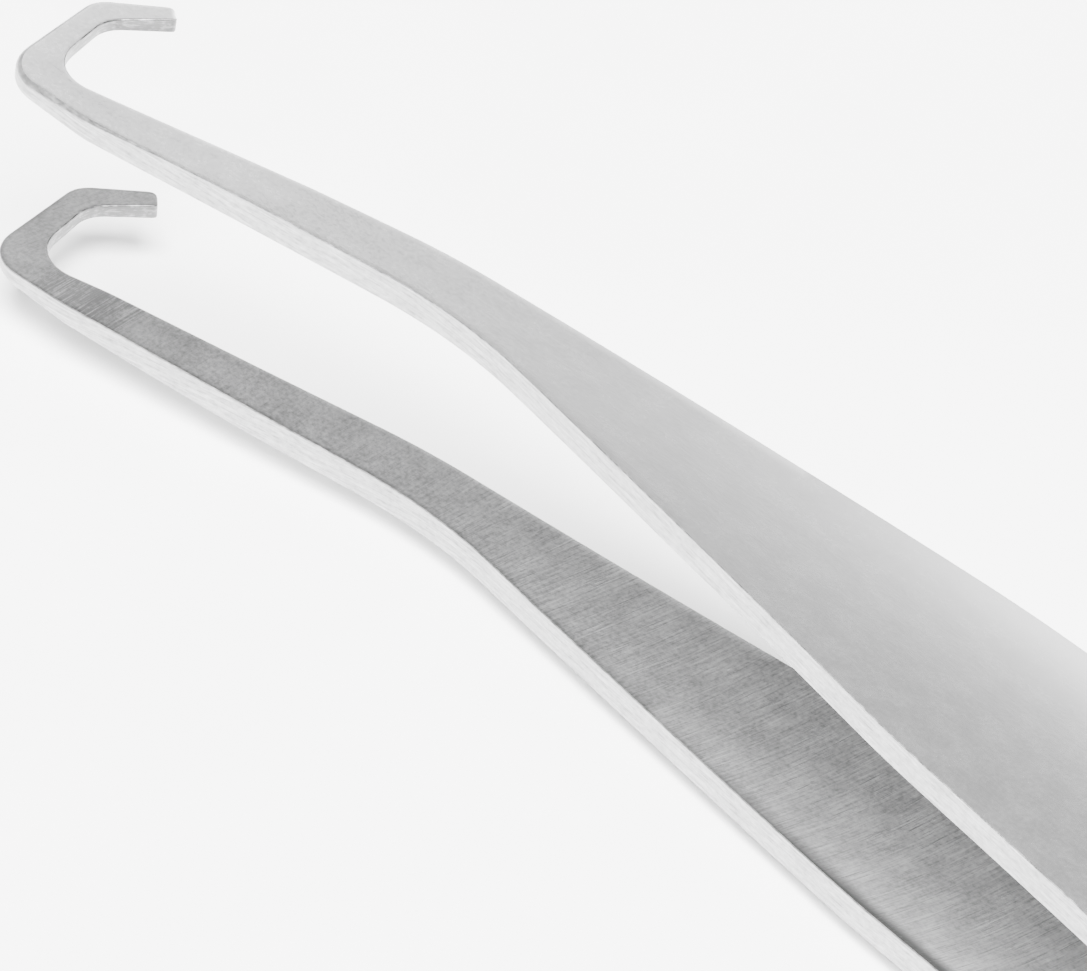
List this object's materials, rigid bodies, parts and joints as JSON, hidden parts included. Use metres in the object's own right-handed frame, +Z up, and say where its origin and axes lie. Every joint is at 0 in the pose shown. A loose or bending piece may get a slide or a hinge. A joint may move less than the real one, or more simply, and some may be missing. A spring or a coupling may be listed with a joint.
{
  "type": "aquascaping tweezers",
  "caption": "Spring-steel aquascaping tweezers with flat jaws hooked to one side, bowed and crowned blades and a riveted spacer heel, sprung open and closed by squeezing.",
  "frame": {"origin": "bottom centre of the bounding box, on the surface that the tweezers lie on", "axes": "+X along the tool from the hooked tips to the heel, +Y across the blades towards the ends of the hooks, +Z up, which is the closing direction of the lower arm within the resting tilt"},
  "size_m": [0.1552, 0.0144, 0.0149],
  "materials": {
    "satin_steel": "fine satin grind, pale grey, inner faces ground crosswise",
    "spacer_steel": "satin, edges flush with the arms",
    "rivet_steel": "ground flush with the outer faces"
  },
  "bodies": {
    "heel": {"heel_spacer": "spacer_steel", "heel_rivets": "rivet_steel", "upper_arm_heel": "satin_steel", "lower_arm_heel": "satin_steel"},
    "upper_arm": {"upper_arm": "satin_steel"},
    "lower_arm": {"lower_arm": "satin_steel"}
  },
  "joints": [
    {"name": "upper_arm_flex", "type": "hinge", "parent": "heel", "child": "upper_arm", "pos_m": [0.04062, 0, 0.00799], "axis": [0, -1, 0], "range_deg": [0, 2.6], "stiffness_Nm_per_rad": 12},
    {"name": "lower_arm_flex", "type": "hinge", "parent": "heel", "child": "lower_arm", "pos_m": [0.04038, 0, 0.0014], "axis": [0, 1, 0], "range_deg": [0, 2.6], "stiffness_Nm_per_rad": 12}
  ],
  "couplings": [
    {"joint": "lower_arm_flex", "follows": "upper_arm_flex", "ratio": 1}
  ]
}
